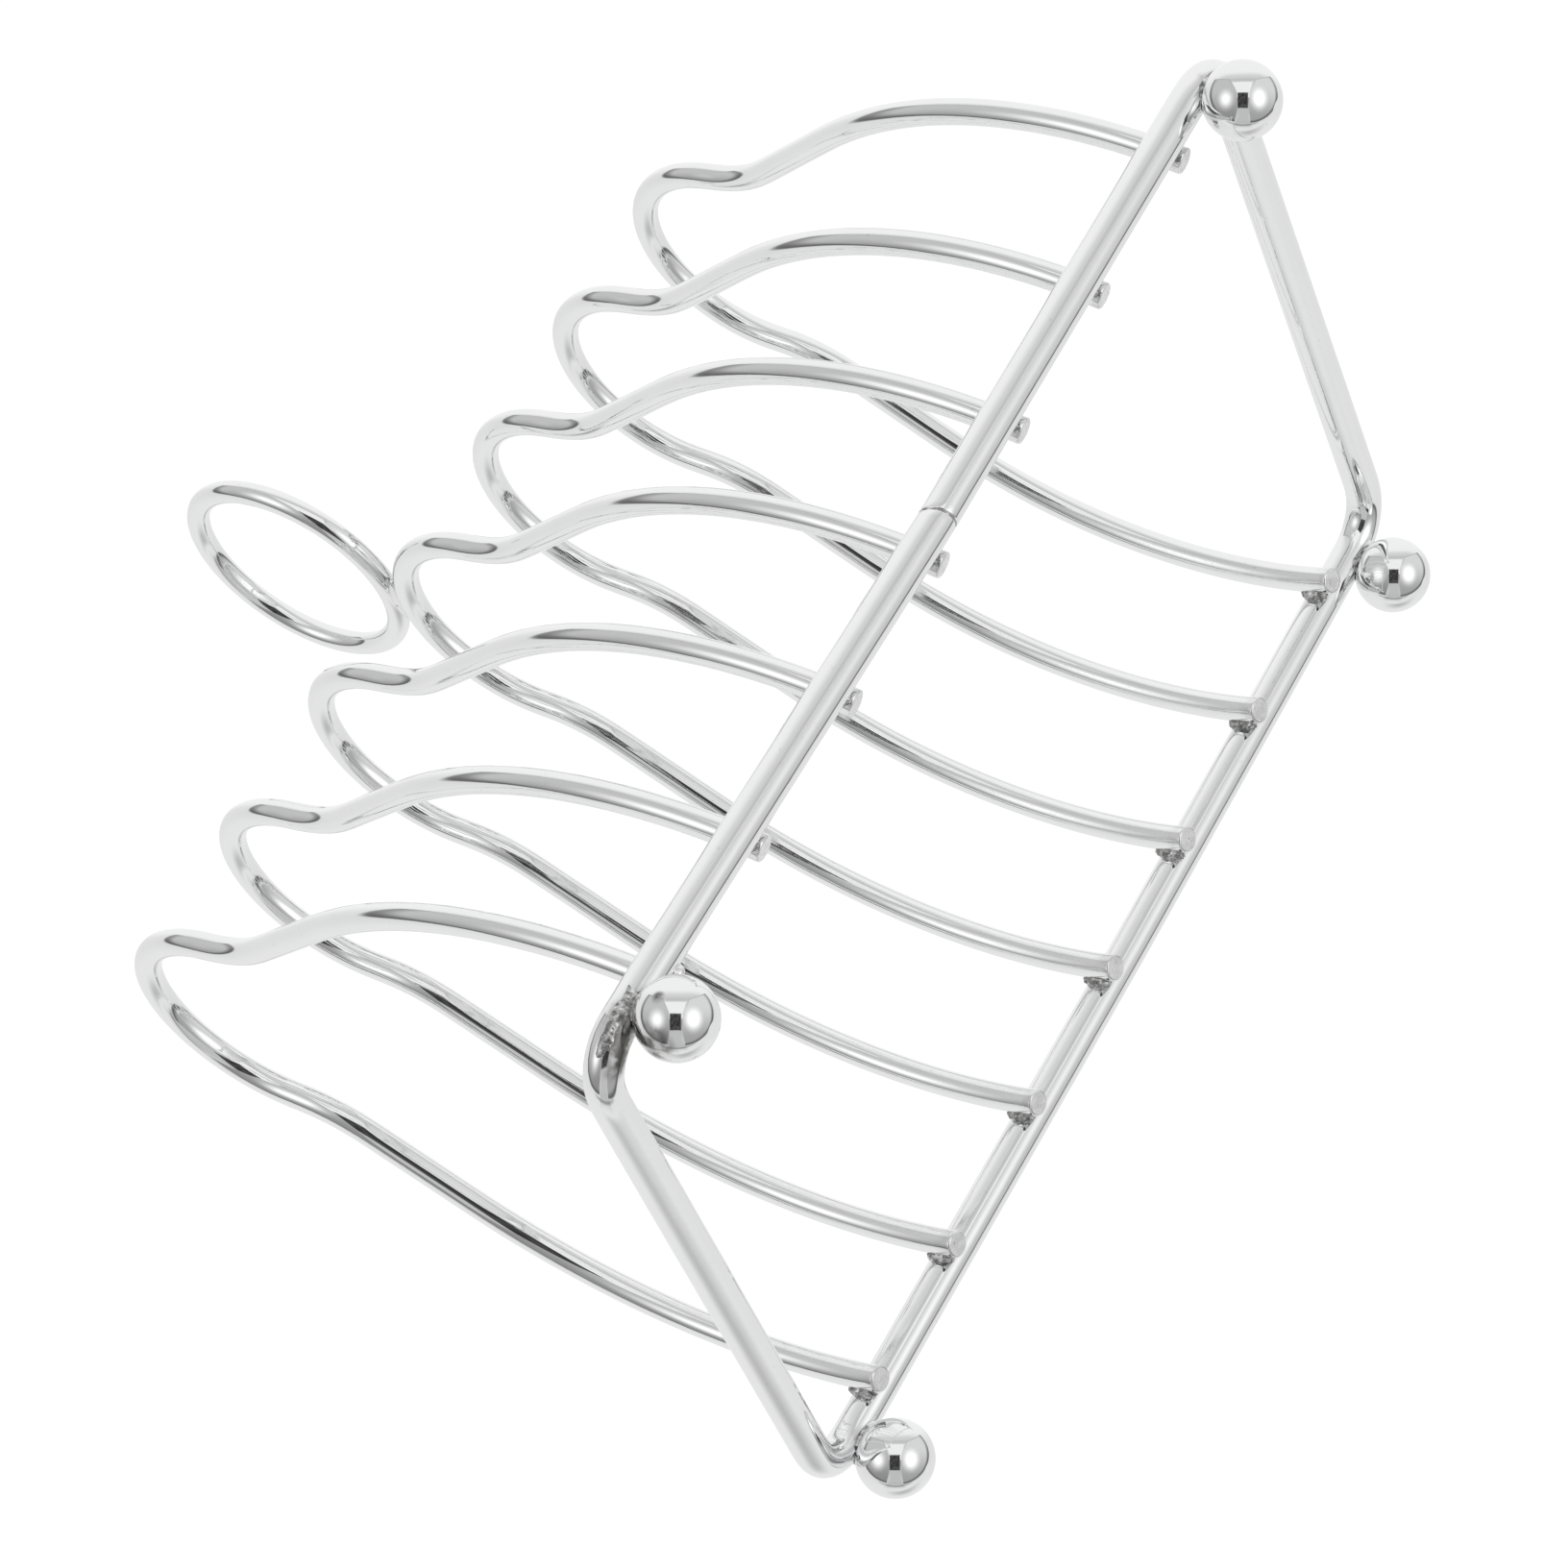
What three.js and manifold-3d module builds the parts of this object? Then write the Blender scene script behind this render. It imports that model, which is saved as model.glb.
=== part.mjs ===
// A welded wire toast rack for six slices, in millimetres.
// +X runs along the row of slices, +Y runs across the rack and +Z points up, with z = 0 on the table.
// One bent rod is the base frame. Seven arched dividers are welded inside its two long sides, four balls
// under its corners are the feet, and a ring on the middle divider is the handle.
import * as THREE from "three";
import { mergeVertices } from "three/addons/utils/BufferGeometryUtils.js";
import Module from "manifold-3d";

const wasm = await Module();
wasm.setup();

// Wires and balls
const FRAME_WIRE = 5.5;
const DIVIDER_WIRE = 4;
const RING_WIRE = 3.5;
const FOOT_DIAMETER = 11.6;
const FOOT_FLAT_RADIUS = 1.1; // the worn spot that each ball stands on

// Base frame: the rod's centre line, anticlockwise from where its two ends meet on the front side. The rod
// was bent by hand, so the sides aren't quite square, and the front side is a little crooked at the seam.
const CORNER_RADIUS = 7;
const FRAME_SEAM = { x: 3.8, y: -53.1 };
const FRAME_TURNS = [
  { x: 90.3, y: -54.4, radius: CORNER_RADIUS },
  { x: 92.5, y: 52.8, radius: CORNER_RADIUS },
  { x: 8, y: 54.2, radius: 300 },
  { x: -89.3, y: 54.2, radius: CORNER_RADIUS },
  { x: -92.4, y: -55.7, radius: CORNER_RADIUS },
];
const FRAME_ABOVE_FOOT = 7.4; // from the balls' centres up to the rod's centre line
const SEAM_GAP = 1; // between the two ends, filled by the butt weld

// Dividers, from the middle of the top down to the cut end
const DIVIDER_COUNT = 7;
const DIVIDER_PITCH = 25;
const DIVIDER_DRIFT = [0.35, -0.6, 0.2, 0.4, -0.25, -0.3, 0.25]; // hand-set, so each is a little off
const DIVIDER_TOP_ABOVE_FOOT = 114;
const FRONT_END_ABOVE_FOOT = 6; // the dividers' front ends are cut a little shorter than their back ends
const BACK_END_ABOVE_FOOT = 4.6;
const DOME_RADIUS = 19.2;
const DOME_TURN = THREE.MathUtils.degToRad(85.5);
const WAIST_RADIUS = 20;
const WAIST_TURN = THREE.MathUtils.degToRad(34);
const SHOULDER_LENGTH = 18.8; // the straight below the waist

const RING_RADIUS = 17.6; // of the ring wire's centre line

// The feet sit under the rod's long sides, just where the corner bends start
const FEET = [
  { name: "foot_left_front", x: -81.8, y: -55.6 },
  { name: "foot_right_front", x: 84.2, y: -53.8 },
  { name: "foot_left_back", x: -82.5, y: 55.4 },
  { name: "foot_right_back", x: 83.8, y: 54.6 },
];

const TOUCH_GAP = 0.3; // between pieces that touch
const WIRE_SIDES = 12;
const DIVIDER_SIDES = 8;

const frameR = FRAME_WIRE / 2;
const dividerR = DIVIDER_WIRE / 2;
const ringR = RING_WIRE / 2;
const footR = FOOT_DIAMETER / 2;
const footZ = Math.sqrt(footR ** 2 - FOOT_FLAT_RADIUS ** 2);
const frameZ = footZ + FRAME_ABOVE_FOOT;
const dividerTopZ = footZ + DIVIDER_TOP_ABOVE_FOOT;
const ringZ = dividerTopZ + dividerR + TOUCH_GAP + ringR + RING_RADIUS;

const bright = { color: 0xd6d8da, roughness: 0.08, metalness: 1 };
const scorched = { color: 0x6f6d6a, roughness: 0.55, metalness: 1 };

// A flat route for a wire, made of straights and arcs. Each station has a place and a heading.
class Route {
  constructor(u, v, heading) {
    this.stations = [{ u, v, heading }];
  }

  straight(length) {
    const { u, v, heading } = this.stations.at(-1);
    const end = { u: u + length * Math.cos(heading), v: v + length * Math.sin(heading), heading };
    this.stations.push(end);
    return this;
  }

  // A positive turn bends to the left of the heading and a negative one to the right.
  arc(radius, turn, steps) {
    const { u, v, heading } = this.stations.at(-1);
    const reach = Math.sign(turn) * radius;
    const centreU = u - reach * Math.sin(heading);
    const centreV = v + reach * Math.cos(heading);
    for (let step = 1; step <= steps; step += 1) {
      const angle = heading + (turn * step) / steps;
      this.stations.push({
        u: centreU + reach * Math.sin(angle),
        v: centreV - reach * Math.cos(angle),
        heading: angle,
      });
    }
    return this;
  }
}

// A curve that gives an extrusion one section at each station, so that straights cost one step.
class StationCurve extends THREE.Curve {
  constructor(points, tangents) {
    super();
    this.points = points;
    this.tangents = tangents;
  }

  getPointAt(t) {
    return this.points[Math.round(t * (this.points.length - 1))].clone();
  }

  getTangentAt(t) {
    return this.tangents[Math.round(t * (this.points.length - 1))].clone();
  }
}

function roundSection(radius, sides) {
  const corners = [];
  for (let side = 0; side < sides; side += 1) {
    const angle = (2 * Math.PI * side) / sides;
    corners.push(new THREE.Vector2(radius * Math.cos(angle), radius * Math.sin(angle)));
  }
  return new THREE.Shape(corners);
}

// Sweeps a round wire along stations. place and aim turn a flat place and heading into 3-D vectors.
function wire(stations, radius, sides, place, aim) {
  const curve = new StationCurve(stations.map(place), stations.map(aim));
  const options = { steps: stations.length - 1, extrudePath: curve, bevelEnabled: false };
  return new THREE.ExtrudeGeometry(roundSection(radius, sides), options);
}

// The rod starts at the seam, goes round the rack anticlockwise and ends at the seam.
function frameGeometry(radius) {
  const corners = [...FRAME_TURNS, FRAME_SEAM];
  const headings = corners.map(({ x, y }, index) => {
    const from = index === 0 ? FRAME_SEAM : corners[index - 1];
    return Math.atan2(y - from.y, x - from.x);
  });
  const startX = FRAME_SEAM.x + (SEAM_GAP / 2) * Math.cos(headings[0]);
  const startY = FRAME_SEAM.y + (SEAM_GAP / 2) * Math.sin(headings[0]);
  const route = new Route(startX, startY, headings[0]);
  FRAME_TURNS.forEach(({ x, y, radius: bend }, index) => {
    const { u, v } = route.stations.at(-1);
    const fullTurn = 2 * Math.PI;
    const turn = (headings[index + 1] - headings[index] + fullTurn) % fullTurn;
    const trim = bend * Math.tan(turn / 2);
    const arcSteps = Math.max(1, Math.round(turn / THREE.MathUtils.degToRad(15)));
    route.straight(Math.hypot(x - u, y - v) - trim).arc(bend, turn, arcSteps);
  });
  const { u, v } = route.stations.at(-1);
  route.straight(Math.hypot(FRAME_SEAM.x - u, FRAME_SEAM.y - v) - SEAM_GAP / 2);
  const place = (station) => new THREE.Vector3(station.u, station.v, frameZ);
  const aim = ({ heading }) => new THREE.Vector3(Math.cos(heading), Math.sin(heading), 0);
  return wire(route.stations, radius, WIRE_SIDES, place, aim);
}

// Where the rod's centre line crosses x on the front side (-1) or the back side (1)
function railY(x, side) {
  const [rightFront, rightBack, middleBack, leftBack, leftFront] = FRAME_TURNS;
  const rail = side < 0 ? [leftFront, FRAME_SEAM, rightFront] : [leftBack, middleBack, rightBack];
  const [from, to] = x < rail[1].x ? rail : rail.slice(1);
  return THREE.MathUtils.mapLinear(x, from.x, to.x, from.y, to.y);
}

// Half a divider: dome, waist, straight shoulder, then one arc that leaves the shoulder smoothly and
// passes the frame rod just inside it.
function halfDivider(dividerFootY, endAboveFoot) {
  const route = new Route(0, dividerTopZ, 0)
    .arc(DOME_RADIUS, -DOME_TURN, 6)
    .arc(WAIST_RADIUS, WAIST_TURN, 3)
    .straight(SHOULDER_LENGTH);
  const { u, v, heading } = route.stations.at(-1);
  const across = dividerFootY - u;
  const down = frameZ - v;
  const lean = across * Math.sin(heading) - down * Math.cos(heading);
  const sideRadius = (across ** 2 + down ** 2) / (2 * lean);
  const centreZ = v - sideRadius * Math.cos(heading);
  const endHeading = -Math.acos((footZ + endAboveFoot - centreZ) / sideRadius);
  return route.arc(sideRadius, endHeading - heading, 7).stations;
}

// The whole divider at x, with each end against its own side of the frame
function dividerGeometry(x, radius) {
  const inset = frameR + TOUCH_GAP + dividerR;
  const back = halfDivider(railY(x, 1) - inset, BACK_END_ABOVE_FOOT);
  const front = halfDivider(-railY(x, -1) - inset, FRONT_END_ABOVE_FOOT)
    .slice(1)
    .reverse()
    .map(({ u, v, heading }) => ({ u: -u, v, heading: -heading }));
  const place = ({ u, v }) => new THREE.Vector3(x, u, v);
  const aim = ({ heading }) => new THREE.Vector3(0, Math.cos(heading), Math.sin(heading));
  return wire([...front, ...back], radius, DIVIDER_SIDES, place, aim);
}

// A ring in the divider's own plane, with a section corner at its top.
function ringGeometry(radius) {
  return new THREE.TorusGeometry(RING_RADIUS, radius, DIVIDER_SIDES, 28).rotateY(Math.PI / 2);
}

// A ball with a small flat to stand on, turned from the flat up past the equator to the top.
function ballGeometry(radius, flatRadius) {
  const ringsPerHalf = 5;
  const low = -Math.acos(flatRadius / radius);
  const profile = [new THREE.Vector2(0, radius * Math.sin(low))];
  for (let ring = 0; ring < 2 * ringsPerHalf; ring += 1) {
    const share = ring / ringsPerHalf - 1;
    const angle = share < 0 ? -share * low : (share * Math.PI) / 2;
    profile.push(new THREE.Vector2(radius * Math.cos(angle), radius * Math.sin(angle)));
  }
  profile.push(new THREE.Vector2(0, radius));
  return new THREE.LatheGeometry(profile, 16).rotateX(Math.PI / 2);
}

// A rough blob of weld metal before the pieces it joins are cut out of it.
function blobGeometry(radiusX, radiusY, radiusZ) {
  return new THREE.SphereGeometry(1, 10, 7).scale(radiusX, radiusY, radiusZ);
}

function solidOf(geometry) {
  const plain = geometry.clone();
  plain.deleteAttribute("normal");
  plain.deleteAttribute("uv");
  const merged = mergeVertices(plain, 1e-4);
  const vertProperties = merged.attributes.position.array;
  const triVerts = new Uint32Array(merged.index.array);
  return new wasm.Manifold(new wasm.Mesh({ numProp: 3, vertProperties, triVerts }));
}

function geometryOf(solid) {
  const { vertProperties, triVerts } = solid.getMesh();
  const geometry = new THREE.BufferGeometry();
  geometry.setAttribute("position", new THREE.BufferAttribute(vertProperties, 3));
  geometry.setIndex(new THREE.BufferAttribute(triVerts, 1));
  geometry.computeVertexNormals();
  return geometry;
}

function cutAway(geometry, cutters) {
  const solid = cutters.reduce((rest, cutter) => rest.subtract(solidOf(cutter)), solidOf(geometry));
  return geometryOf(solid);
}

const rack = new THREE.Group();

function addPiece(name, geometry, finish, x = 0, y = 0, z = 0) {
  const mesh = new THREE.Mesh(geometry, new THREE.MeshStandardMaterial(finish));
  mesh.name = name;
  mesh.position.set(x, y, z);
  rack.add(mesh);
}

// Shapes grown by the gap, which clear room for each piece's neighbours
const frameRoom = frameGeometry(frameR + TOUCH_GAP);
const ringRoom = ringGeometry(ringR + TOUCH_GAP);
const footRoom = ballGeometry(footR + TOUCH_GAP, 0.5);

function addFrame() {
  addPiece("frame_rod", frameGeometry(frameR), bright);
  const thickness = SEAM_GAP - 2 * TOUCH_GAP;
  const disc = new THREE.CylinderGeometry(frameR, frameR, thickness, WIRE_SIDES).rotateZ(Math.PI / 2);
  addPiece("frame_butt_weld", disc, scorched, FRAME_SEAM.x, FRAME_SEAM.y, frameZ);
}

// Each ball is set a little into the rod above it, with a collar of weld round the joint.
function addFoot({ name, x, y }) {
  const ball = ballGeometry(footR, FOOT_FLAT_RADIUS).translate(x, y, footZ);
  addPiece(name, cutAway(ball, [frameRoom]), bright);
  const towardsRod = new THREE.Vector2(railY(x, Math.sign(y)) - y, FRAME_ABOVE_FOOT);
  const collar = blobGeometry(5.6, 4.1, 1.7)
    .translate(0, 0, footR - 0.8)
    .rotateX(-Math.atan2(towardsRod.x, towardsRod.y))
    .translate(x, y, footZ);
  const room = footRoom.clone().translate(x, y, footZ);
  addPiece(`${name}_weld`, cutAway(collar, [frameRoom, room]), scorched);
}

// A divider stands between the frame's long sides and is welded to the inner side of each.
function addDivider(index) {
  const place = index - (DIVIDER_COUNT - 1) / 2;
  const x = place * DIVIDER_PITCH + DIVIDER_DRIFT[index];
  const name = `divider_${index + 1}`;
  addPiece(name, dividerGeometry(x, dividerR), bright);
  const room = dividerGeometry(x, dividerR + TOUCH_GAP);
  for (const [end, side] of [["front", -1], ["back", 1]]) {
    const touchY = railY(x, side) - side * (frameR + TOUCH_GAP / 2);
    const bead = blobGeometry(3.2, 1.7, 2.9).translate(x, touchY, frameZ);
    addPiece(`${name}_${end}_weld`, cutAway(bead, [frameRoom, room]), scorched);
  }
  return x;
}

// The ring stands on the middle divider, in the same plane.
function addRing(x) {
  addPiece("ring_handle", ringGeometry(ringR), bright, x, 0, ringZ);
  const bead = blobGeometry(1.7, 5.6, 1.9).translate(x, 0, dividerTopZ + dividerR + TOUCH_GAP / 2);
  const rooms = [dividerGeometry(x, dividerR + TOUCH_GAP), ringRoom.clone().translate(x, 0, ringZ)];
  addPiece("ring_weld", cutAway(bead, rooms), scorched);
}

addFrame();
FEET.forEach(addFoot);
const dividerPlaces = Array.from({ length: DIVIDER_COUNT }, (_, index) => addDivider(index));
addRing(dividerPlaces[(DIVIDER_COUNT - 1) / 2]);

export default rack;
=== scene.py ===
"""A welded wire toast rack in polished steel, seen from below, past its left front foot.

Lengths are in metres. Front is -Y, left is -X, and the feet stand on z = 0.
"""
import math

import bmesh
import bpy
import numpy as np
from mathutils import Matrix, Vector, noise


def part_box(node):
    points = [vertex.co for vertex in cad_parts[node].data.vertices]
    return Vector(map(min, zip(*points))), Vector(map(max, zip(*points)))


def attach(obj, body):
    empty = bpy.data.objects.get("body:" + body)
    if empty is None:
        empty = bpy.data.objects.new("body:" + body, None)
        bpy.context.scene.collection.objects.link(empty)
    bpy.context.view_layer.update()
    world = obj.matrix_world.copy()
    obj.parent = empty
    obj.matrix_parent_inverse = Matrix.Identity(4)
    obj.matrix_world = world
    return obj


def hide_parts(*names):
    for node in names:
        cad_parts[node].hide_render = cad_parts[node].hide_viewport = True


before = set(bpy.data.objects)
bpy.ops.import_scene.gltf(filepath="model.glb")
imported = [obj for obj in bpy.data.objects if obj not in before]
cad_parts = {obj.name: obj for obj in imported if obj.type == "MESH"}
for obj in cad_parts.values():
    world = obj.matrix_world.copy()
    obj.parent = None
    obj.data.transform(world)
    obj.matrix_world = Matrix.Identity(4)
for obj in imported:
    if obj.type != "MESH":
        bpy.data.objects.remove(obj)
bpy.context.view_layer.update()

MM = 0.001

# The wires' shapes, as in the CAD source. The frame's centre line runs anticlockwise from its seam.
CORNER_RADIUS = 7 * MM
FRAME_SEAM = (3.8 * MM, -53.1 * MM)
RIGHT_FRONT = (90.3 * MM, -54.4 * MM)
RIGHT_BACK = (92.5 * MM, 52.8 * MM)
MIDDLE_BACK = (8 * MM, 54.2 * MM)
LEFT_BACK = (-89.3 * MM, 54.2 * MM)
LEFT_FRONT = (-92.4 * MM, -55.7 * MM)
SLIGHT_BEND_RADIUS = 300 * MM
DOME_RADIUS = 19.2 * MM
DOME_TURN = math.radians(85.5)
WAIST_RADIUS = 20 * MM
WAIST_TURN = math.radians(34)
SHOULDER_LENGTH = 18.8 * MM
FRONT_END_BELOW_FRAME = 1.4 * MM
BACK_END_BELOW_FRAME = 2.8 * MM
TOUCH_GAP = 0.3 * MM
SEAM_HALF_GAP = 0.14 * MM
SEAM_SLANT = 0.25
SLANTED_LENGTH = 5 * MM
FLAT_RADIUS = 1.1 * MM
EDGE_ROUNDING = 0.3 * MM
DIVIDER_COUNT = 7
FEET = ("foot_left_front", "foot_right_front", "foot_left_back", "foot_right_back")

# The weld beads' half sizes along X, Y and Z, or for the feet along X, along the seat and through it
DIVIDER_BEAD = (1.25 * MM, 1.0 * MM, 1.9 * MM)
RING_BEAD = (1.5 * MM, 4.6 * MM, 1.5 * MM)
FOOT_BEAD = (3.0 * MM, 2.4 * MM, 0.95 * MM)
DROP = (1.3 * MM, 0.9 * MM, 1.2 * MM)
SEAM_BEAD_HALF_WIDTH = 0.3 * MM
SEAM_BEAD_SHARE = 0.965
# Where the beads lie: the dividers' to the left of the wire and a little high, the feet's sunk into the ball.
# The drop's middle is below the rod's, by the given share of the rod's radius.
BEAD_ASIDE = 1.2 * MM
BEAD_LIFT = 0.4 * MM
BEAD_SINK = 0.5 * MM
DROP_PLACE = (-74.5 * MM, -53.8 * MM)
DROP_DEPTH = 0.87

# Weld spatter on the rod's outer side, from the left front foot into the bend. It ends where only this
# much of the rod's heading is along X, and its angle is measured up from level.
SPATTER_START_X = -79.5 * MM
SPATTER_LAST_HEADING = 0.74
SPATTER_ANGLE = math.radians(-19)
SPATTER_HALF_WIDTH = math.radians(23)
SPATTER_HEIGHT = 0.3 * MM
SPATTER_STATIONS = 90
SPATTER_GRAIN = 0.75 * MM

# How far the welding heat scorched the steel
FRAME_SCORCH = 3.4 * MM
BALL_SCORCH = 3.6 * MM
DIVIDER_SCORCH = 4.5 * MM
# More of it by the left front foot, under the rod and on the ball, as (place, reach) in millimetres. The
# places are measured from the ball's middle.
# Under the rod it is partly heat tint and partly painted shade, a dark reflection of the ball's shaded side;
# on the ball it is heat tint.
BEND_SCORCH_AND_PAINTED_SHADE = (((-3, -0.5), 4.8), ((-6, 0), 4.2), ((-8.3, 1), 2.8))
BALL_SCORCHES = (((-5.5, -1.6, 0.1), 3.7), ((-0.8, -5.7, 0.5), 1.2))

# How finely the pieces are made, and how evenly
STEP = 1.2 * MM
BEND_SOFTNESS = 1.6 * MM
FRAME_SIDES = 48
DIVIDER_SIDES = 40
RING_SIDES = 36
CRUST_SIDES = 36
WIRE_RIPPLE = 0.012 * MM
RIPPLE_MARGIN = 0.008 * MM
# A cut end whose radius squared is this much has its full unevenness
CAP_SIZE = 10 * MM * MM

# The photograph's viewpoint
CAMERA_PLACE = Vector((-0.40017, -0.68627, -0.39299))
VIEW_DIRECTION = Vector((0.42976, 0.76065, 0.48653)).normalized()
VIEW_UP = Vector((0.7708, -0.5897, 0.24108)).normalized()
LENS = 143.69
SENSOR = 36

# How much of the light that falls on it polished steel gives back
STEEL_TONE = 0.9


# ---------------------------------------------------------------- camera

def make_camera():
    data = bpy.data.cameras.new("camera")
    data.lens = LENS
    data.sensor_width = SENSOR
    data.clip_start = 0.01
    data.clip_end = 50
    camera = bpy.data.objects.new("camera", data)
    back = -VIEW_DIRECTION
    right = VIEW_UP.cross(back).normalized()
    up = back.cross(right)
    axes = Matrix((right, up, back)).transposed().to_4x4()
    camera.matrix_world = Matrix.Translation(CAMERA_PLACE) @ axes
    bpy.context.scene.collection.objects.link(camera)
    bpy.context.scene.camera = camera
    return right, up, back


# ---------------------------------------------------------------- node helpers

def grey(level):
    return (level, level, level, 1)


WHITE = grey(1)


class Sums:
    """Adds maths nodes to a node tree. Every argument is a number or a socket."""

    def __init__(self, tree):
        self.tree = tree

    def node(self, kind, **settings):
        made = self.tree.nodes.new(kind)
        for name, value in settings.items():
            setattr(made, name, value)
        return made

    def feed(self, socket, value):
        if isinstance(value, bpy.types.NodeSocket):
            self.tree.links.new(value, socket)
        else:
            socket.default_value = value

    def maths(self, operation, *values):
        made = self.node("ShaderNodeMath", operation=operation)
        for socket, value in zip(made.inputs, values):
            self.feed(socket, value)
        return made.outputs[0]

    def add(self, a, b):
        return self.maths("ADD", a, b)

    def sub(self, a, b):
        return self.maths("SUBTRACT", a, b)

    def times(self, a, b):
        return self.maths("MULTIPLY", a, b)

    def least(self, *values):
        lowest = values[0]
        for value in values[1:]:
            lowest = self.maths("MINIMUM", lowest, value)
        return lowest

    def dot(self, a, b):
        made = self.node("ShaderNodeVectorMath", operation="DOT_PRODUCT")
        self.feed(made.inputs[0], a)
        self.feed(made.inputs[1], b)
        return made.outputs["Value"]

    def ease(self, value, low, high, at_low=0.0, at_high=1.0):
        """Goes smoothly from at_low to at_high as value goes from low to high."""
        made = self.node("ShaderNodeMapRange", interpolation_type="SMOOTHSTEP")
        for socket, number in zip(made.inputs, (value, low, high, at_low, at_high)):
            self.feed(socket, number)
        return made.outputs[0]

    def mix(self, share, a, b):
        made = self.node("ShaderNodeMix", data_type="FLOAT")
        self.feed(made.inputs[0], share)
        self.feed(made.inputs[2], a)
        self.feed(made.inputs[3], b)
        return made.outputs[0]

    def tint(self, share, a, b):
        made = self.node("ShaderNodeMix", data_type="RGBA")
        self.feed(made.inputs[0], share)
        self.feed(made.inputs[6], a)
        self.feed(made.inputs[7], b)
        return made.outputs[2]

    def distance(self, x, y, centre_x, centre_y, width, height):
        """0 at the centre of an ellipse and 1 on it."""
        across = self.times(self.sub(x, centre_x), 1 / width)
        along = self.times(self.sub(y, centre_y), 1 / height)
        return self.maths("SQRT", self.add(self.times(across, across), self.times(along, along)))

    def hill(self, x, y, centre_x, centre_y, width, height):
        """1 at the centre, falling smoothly to 0 at the edge of an ellipse."""
        return self.ease(self.distance(x, y, centre_x, centre_y, width, height), 0.0, 1.0, 1.0, 0.0)

    def noise(self, vector, scale, detail=2.0, roughness=0.5):
        made = self.node("ShaderNodeTexNoise")
        self.feed(made.inputs["Vector"], vector)
        made.inputs["Scale"].default_value = scale
        made.inputs["Detail"].default_value = detail
        made.inputs["Roughness"].default_value = roughness
        return made.outputs["Fac"]

    def stretch(self, vector, scale):
        made = self.node("ShaderNodeVectorMath", operation="MULTIPLY")
        self.feed(made.inputs[0], vector)
        self.feed(made.inputs[1], scale)
        return made.outputs[0]

    def bump(self, height, distance, strength=1.0, normal=None):
        made = self.node("ShaderNodeBump")
        made.inputs["Strength"].default_value = strength
        made.inputs["Distance"].default_value = distance
        self.feed(made.inputs["Height"], height)
        if normal is not None:
            self.feed(made.inputs["Normal"], normal)
        return made.outputs[0]


# ---------------------------------------------------------------- studio

# A white light tent, as a polished ball in its middle would show it: x to the right, y up and 1 at the
# ball's edge. Levels are as they look on the screen, from 0 for black to 1 for white.
CLOTH_LOW = 0.885
CLOTH_MIDDLE = 0.865
CLOTH_TOP = 0.93
FOLD_DARKER = 0.1
SHADOW_DARKER = 0.17
SHADOW_X = 0.2
SIDES_DARKER = 0.25
SIDES = (0.0, 0.1, 0.98, 0.92)

TABLE_FAR = 0.66
TABLE_NEAR = 0.73
TABLE_EDGE = 0.12
HEM_DARKER = 0.2
HEM = (0.0, 0.1, 0.76, 0.75)

GAP_LEVEL = 0.925
GAP_X = -0.04
GAP_HALF_WIDTH = 0.25
GAP_TOP = 0.4
LINTEL_DARKER = 0.12

HOLE_CENTRE = (-0.02, -0.055)
HOLE_HALF_SIZE = (0.14, 0.2)
HOLE_LEVELS = (0.2, 0.32)

# Each panel's outer edge is part of an oval, with a dark rim, and its lamp glows in it.
RIM_LEVEL = 0.38
CORNER_LEVEL = 0.56
LEFT_PANEL = {
    "side": -1, "inner": 0.15, "top": 0.5, "slope": 0.2,
    "oval": (-0.1, 0.1), "oval_size": (0.71, 0.68),
    "lamp": (-0.43, -0.03), "lamp_size": (0.25, 0.33), "lamp_gain": 0.4,
    "upper": 0.74, "lower": 0.54,
}
RIGHT_PANEL = {
    "side": 1, "inner": 0.13, "top": 0.5, "slope": 0.3,
    "oval": (0.1, 0.1), "oval_size": (0.74, 0.7),
    "lamp": (0.38, -0.02), "lamp_size": (0.27, 0.36), "lamp_gain": 0.42,
    "upper": 0.83, "lower": 0.62,
}

BACKGROUND_STRENGTH = 1.05
SCREEN_POWER = 2.2


def make_studio(right, up, back):
    """Lights the rack with the tent. The camera itself sees plain white behind the rack."""
    world = bpy.data.worlds.new("studio")
    bpy.context.scene.world = world
    world.use_nodes = True
    tree = world.node_tree
    tree.nodes.clear()
    sums = Sums(tree)
    way = sums.node("ShaderNodeTexCoord").outputs["Generated"]
    depth = sums.dot(way, back)
    spread = sums.maths("SQRT", sums.maths("MAXIMUM", sums.times(sums.add(depth, 1), 2), 1e-6))
    x = sums.maths("DIVIDE", sums.dot(way, right), spread)
    y = sums.maths("DIVIDE", sums.dot(way, up), spread)
    out = sums.maths("SQRT", sums.maths("MAXIMUM", sums.maths("DIVIDE", sums.sub(1, depth), 2), 0))

    level = cloth_level(sums, x, y, out)
    level = add_table(sums, level, x, y)
    level = add_gap(sums, level, x, y)
    level = add_panel(sums, level, x, y, LEFT_PANEL)
    level = add_panel(sums, level, x, y, RIGHT_PANEL)
    level = add_hole(sums, level, x, y, way)

    light = sums.times(sums.maths("POWER", level, SCREEN_POWER), 1 / STEEL_TONE)
    tent = sums.node("ShaderNodeBackground")
    tent.inputs["Color"].default_value = WHITE
    sums.feed(tent.inputs["Strength"], light)
    plain = sums.node("ShaderNodeBackground")
    plain.inputs["Color"].default_value = WHITE
    plain.inputs["Strength"].default_value = BACKGROUND_STRENGTH
    seen = sums.node("ShaderNodeLightPath").outputs["Is Camera Ray"]
    chosen = sums.node("ShaderNodeMixShader")
    sums.feed(chosen.inputs[0], seen)
    tree.links.new(tent.outputs[0], chosen.inputs[1])
    tree.links.new(plain.outputs[0], chosen.inputs[2])
    result = sums.node("ShaderNodeOutputWorld")
    tree.links.new(chosen.outputs[0], result.inputs["Surface"])


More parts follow.
